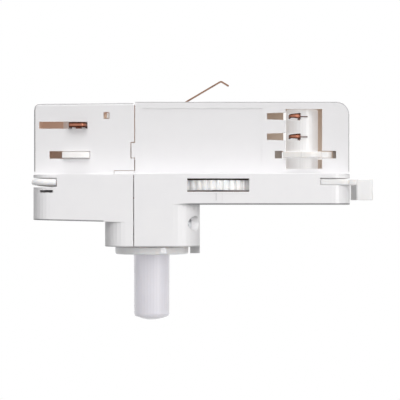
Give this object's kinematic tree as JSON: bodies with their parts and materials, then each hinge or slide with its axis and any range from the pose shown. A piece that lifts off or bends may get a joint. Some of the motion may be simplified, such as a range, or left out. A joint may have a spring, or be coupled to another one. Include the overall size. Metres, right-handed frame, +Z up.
{
  "type": "track light adapter",
  "caption": "White three-circuit lighting track adapter with turning contacts, lock cam, earth spring and threaded stem under a push-on cap",
  "frame": {"origin": "on the stem's axis at the height of the shoulder that closes against the track, mid-way between front and rear faces", "axes": "+Z up into the track; +X along the track towards the lock lever; -Y out of the pictured front face"},
  "size_m": [0.1219, 0.037, 0.0867],
  "materials": {
    "housing_white": "fine satin moulded shell",
    "moving_white": "satin moulded levers, rotors and wheel",
    "cap_white": "soft push-on cap",
    "block_dark": "dark insulating moulding",
    "copper": null,
    "brass": "turned and milled brass",
    "steel": "zinc-plated steel"
  },
  "bodies": {
    "housing": {"main_body": "housing_white", "end_cover": "housing_white", "selector_shaft": "steel", "earth_strip": "copper", "live_strip": "copper", "neutral_strip": "copper", "terminal_block": "block_dark", "live_terminal": "brass", "earth_terminal": "brass", "neutral_terminal": "brass", "live_screw": "steel", "earth_screw": "steel", "neutral_screw": "steel", "cover_screw_front": "steel", "cover_screw_rear": "steel", "threaded_nipple": "steel", "nipple_washer": "steel", "nipple_nut": "steel", "collar": "housing_white"},
    "turret": {"contact_turret": "moving_white", "phase_contact_upper": "copper", "phase_contact_lower": "copper", "turret_conductor": "copper", "turret_gear": "moving_white"},
    "lock": {"lock_cam": "moving_white", "lock_lever": "moving_white"},
    "rotor": {"neutral_rotor": "moving_white", "neutral_contact": "copper", "rotor_conductor": "copper", "left_lever": "moving_white"},
    "wheel": {"selector_wheel": "moving_white"},
    "spring": {"earth_spring": "copper"},
    "cap": {"protective_cap": "cap_white"}
  },
  "joints": [
    {"name": "selector_turn", "type": "hinge", "parent": "housing", "child": "wheel", "pos_m": [0.024, 0, -0.004], "axis": [0, 0, 1], "range_deg": [0, 65.6]},
    {"name": "turret_turn", "type": "hinge", "parent": "housing", "child": "turret", "pos_m": [0.0547, 0, 0.012], "axis": [0, 0, 1], "range_deg": [-90, 0]},
    {"name": "lock_turn", "type": "hinge", "parent": "housing", "child": "lock", "pos_m": [0.0547, 0, 0], "axis": [0, 0, 1], "range_deg": [0, 90]},
    {"name": "rotor_turn", "type": "hinge", "parent": "housing", "child": "rotor", "pos_m": [-0.0265, 0, 0.01], "axis": [0, 0, 1], "range_deg": [-90, 0]},
    {"name": "earth_flex", "type": "hinge", "parent": "housing", "child": "spring", "pos_m": [0.0065, 0, 0.0227], "axis": [0, 1, 0], "range_deg": [0, 24], "stiffness_Nm_per_rad": 0.01},
    {"name": "cap_pull", "type": "slide", "parent": "housing", "child": "cap", "axis": [0, 0, -1], "range_m": [0, 0.026]}
  ],
  "couplings": [
    {"joint": "turret_turn", "follows": "selector_turn", "ratio": -1.3714}
  ]
}
